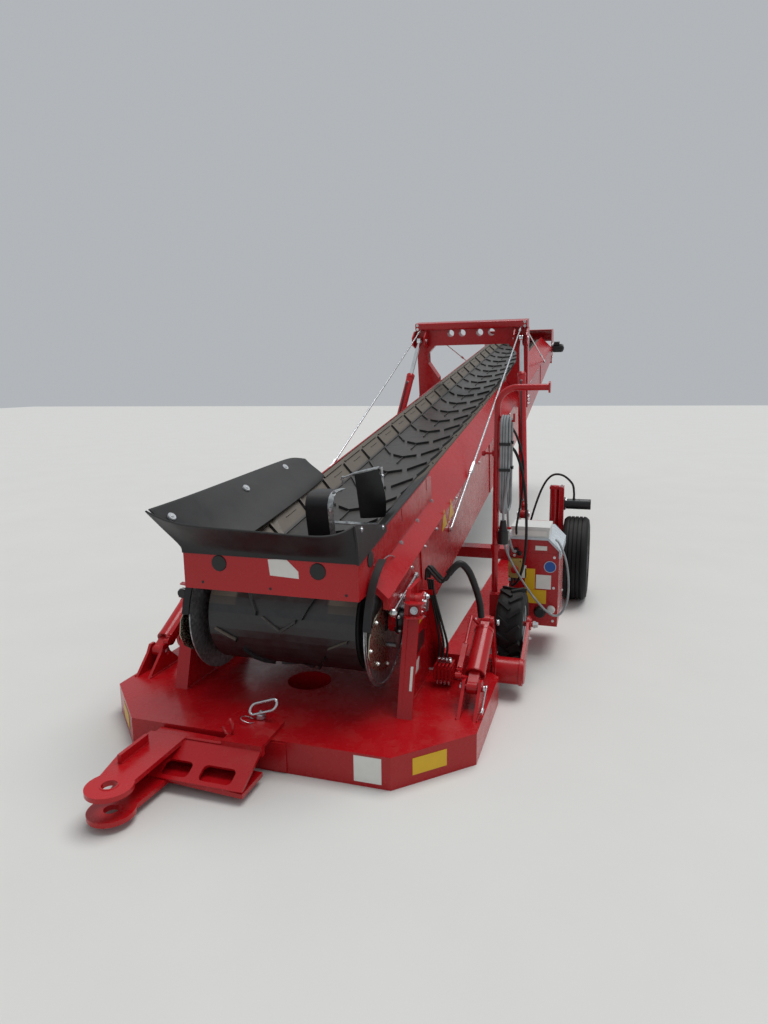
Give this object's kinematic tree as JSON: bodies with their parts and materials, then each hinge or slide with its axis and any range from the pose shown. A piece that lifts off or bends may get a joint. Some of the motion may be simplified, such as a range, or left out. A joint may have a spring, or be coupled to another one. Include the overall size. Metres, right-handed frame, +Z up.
{
  "type": "mobile potato store loader with a troughed belt boom",
  "caption": "Troughed belt boom hinged on a wheeled floor plate, with a rubber intake hopper, lifting mast, swivelling rear wheels and a forked drawbar.",
  "frame": {"origin": "on the floor at the middle of the round hole in the base plate", "axes": "+Y along the boom towards its head, +X to the right as seen from the hopper, +Z up"},
  "size_m": [2.574, 9.4451, 2.3668],
  "materials": {
    "red_paint": "glossy paint, scuffed where feet and crop rub",
    "zinc_plate": "zinc plated",
    "galvanised": "galvanised sheet",
    "black_steel": "black paint",
    "chrome_rod": "ground and chromed",
    "belt_rubber": "dusty conveyor rubber",
    "sheet_rubber": "smooth sheet rubber",
    "tyre_rubber": "worn tread rubber",
    "switch_plastic": "moulded, dusty",
    "cable_rubber": "grey cable sheath",
    "black_plastic": "moulded",
    "box_plastic": "moulded"
  },
  "bodies": {
    "chassis": {"base_plate": "red_paint", "pivot_posts": "red_paint", "side_beams": "red_paint", "rear_axle_frame": "red_paint", "control_cabinet": "red_paint", "cabinet_cover": "galvanised", "cable_arm": "red_paint", "supply_cable_hank": "cable_rubber", "supply_cable": "cable_rubber", "supply_fittings": "black_plastic", "stop_switch": "switch_plastic", "junction_box": "box_plastic", "drawbar_pin": "zinc_plate"},
    "boom": {"pivot_pins": "zinc_plate", "boom_sides": "red_paint", "trough_bed": "red_paint", "conveyor_belt": "belt_rubber", "tail_drum": "black_steel", "tail_guards": "galvanised", "head_drum": "black_steel", "return_rollers": "zinc_plate", "hopper_frame": "red_paint", "hopper_skirt": "sheet_rubber", "hopper_flaps": "sheet_rubber", "guide_rubbers": "sheet_rubber", "guide_brackets": "galvanised", "mast": "red_paint", "stay_rods": "zinc_plate", "head_hood": "red_paint", "belt_motor": "black_steel"},
    "drawbar": {"drawbar": "red_paint"},
    "lift_barrel_left": {"lift_barrel_left": "black_steel"},
    "lift_rod_left": {"lift_rod_left": "chrome_rod"},
    "rear_leg_left": {"rear_leg_left": "red_paint", "leg_motor_left": "black_steel"},
    "rear_wheel_left": {"rear_tyre_left": "tyre_rubber", "rear_rim_left": "galvanised"},
    "wheel_arm_left": {"wheel_arm_left": "red_paint"},
    "arm_wheel_left": {"arm_tyre_left": "tyre_rubber", "arm_rim_left": "galvanised"},
    "arm_barrel_left": {"arm_barrel_left": "red_paint"},
    "arm_rod_left": {"arm_rod_left": "chrome_rod"},
    "lift_barrel_right": {"lift_barrel_right": "black_steel"},
    "lift_rod_right": {"lift_rod_right": "chrome_rod"},
    "rear_leg_right": {"rear_leg_right": "red_paint", "leg_motor_right": "black_steel"},
    "rear_wheel_right": {"rear_tyre_right": "tyre_rubber", "rear_rim_right": "galvanised"},
    "wheel_arm_right": {"wheel_arm_right": "red_paint"},
    "arm_wheel_right": {"arm_tyre_right": "tyre_rubber", "arm_rim_right": "galvanised"},
    "arm_barrel_right": {"arm_barrel_right": "red_paint"},
    "arm_rod_right": {"arm_rod_right": "chrome_rod"}
  },
  "joints": [
    {"name": "boom_lift", "type": "hinge", "parent": "chassis", "child": "boom", "pos_m": [0, 0, 0.6], "axis": [1, 0, 0], "range_deg": [-5, 8]},
    {"name": "drawbar_swing", "type": "hinge", "parent": "chassis", "child": "drawbar", "pos_m": [-0.03, -0.47, 0.15], "axis": [0, 0, 1], "range_deg": [0, 20]},
    {"name": "lift_tilt_left", "type": "hinge", "parent": "chassis", "child": "lift_barrel_left", "pos_m": [-0.69, 3.19, 0.45], "axis": [1, 0, 0], "range_deg": [-9, 14.5]},
    {"name": "lift_stroke_left", "type": "slide", "parent": "lift_barrel_left", "child": "lift_rod_left", "axis": [0.0918, 0.5139, 0.8529], "range_m": [-0.26, 0.42]},
    {"name": "leg_swivel_left", "type": "hinge", "parent": "chassis", "child": "rear_leg_left", "pos_m": [-1.025, 2.269, 0.6], "axis": [0, 0, -1], "range_deg": [0, 62]},
    {"name": "rear_wheel_left", "type": "hinge", "parent": "rear_leg_left", "child": "rear_wheel_left", "pos_m": [-1.192, 2.269, 0.311], "axis": [1, 0, 0], "continuous": true},
    {"name": "arm_lower_left", "type": "hinge", "parent": "chassis", "child": "wheel_arm_left", "pos_m": [-0.92, 0.43, 0.135], "axis": [-1, 0, 0], "range_deg": [0, 38]},
    {"name": "arm_wheel_left", "type": "hinge", "parent": "wheel_arm_left", "child": "arm_wheel_left", "pos_m": [-0.929, 0.7, 0.305], "axis": [1, 0, 0], "continuous": true},
    {"name": "arm_tilt_left", "type": "hinge", "parent": "chassis", "child": "arm_barrel_left", "pos_m": [-0.85, -0.06, 0.24], "axis": [-1, 0, 0], "range_deg": [-0.5, 8.5]},
    {"name": "arm_stroke_left", "type": "slide", "parent": "arm_barrel_left", "child": "arm_rod_left", "axis": [0, 0.8742, 0.4856], "range_m": [-0.005, 0.21]},
    {"name": "lift_tilt_right", "type": "hinge", "parent": "chassis", "child": "lift_barrel_right", "pos_m": [0.69, 3.19, 0.45], "axis": [1, 0, 0], "range_deg": [-9, 14.5]},
    {"name": "lift_stroke_right", "type": "slide", "parent": "lift_barrel_right", "child": "lift_rod_right", "axis": [-0.0918, 0.5139, 0.8529], "range_m": [-0.26, 0.42]},
    {"name": "leg_swivel_right", "type": "hinge", "parent": "chassis", "child": "rear_leg_right", "pos_m": [1.025, 2.269, 0.6], "axis": [0, 0, 1], "range_deg": [0, 62]},
    {"name": "rear_wheel_right", "type": "hinge", "parent": "rear_leg_right", "child": "rear_wheel_right", "pos_m": [1.192, 2.269, 0.311], "axis": [1, 0, 0], "continuous": true},
    {"name": "arm_lower_right", "type": "hinge", "parent": "chassis", "child": "wheel_arm_right", "pos_m": [0.92, 0.43, 0.135], "axis": [-1, 0, 0], "range_deg": [0, 38]},
    {"name": "arm_wheel_right", "type": "hinge", "parent": "wheel_arm_right", "child": "arm_wheel_right", "pos_m": [0.929, 0.7, 0.305], "axis": [1, 0, 0], "continuous": true},
    {"name": "arm_tilt_right", "type": "hinge", "parent": "chassis", "child": "arm_barrel_right", "pos_m": [0.85, -0.06, 0.24], "axis": [-1, 0, 0], "range_deg": [-0.5, 8.5]},
    {"name": "arm_stroke_right", "type": "slide", "parent": "arm_barrel_right", "child": "arm_rod_right", "axis": [0, 0.8742, 0.4856], "range_m": [-0.005, 0.21]}
  ],
  "couplings": [
    {"joint": "lift_tilt_left", "follows": "boom_lift", "ratio": 1.7133},
    {"joint": "lift_stroke_left", "follows": "boom_lift", "m_per_rad": 2.8252},
    {"joint": "arm_tilt_left", "follows": "arm_lower_left", "ratio": 0.21},
    {"joint": "arm_stroke_left", "follows": "arm_lower_left", "m_per_rad": 0.3122},
    {"joint": "lift_tilt_right", "follows": "boom_lift", "ratio": 1.7133},
    {"joint": "lift_stroke_right", "follows": "boom_lift", "m_per_rad": 2.8252},
    {"joint": "arm_tilt_right", "follows": "arm_lower_right", "ratio": 0.21},
    {"joint": "arm_stroke_right", "follows": "arm_lower_right", "m_per_rad": 0.3122}
  ]
}
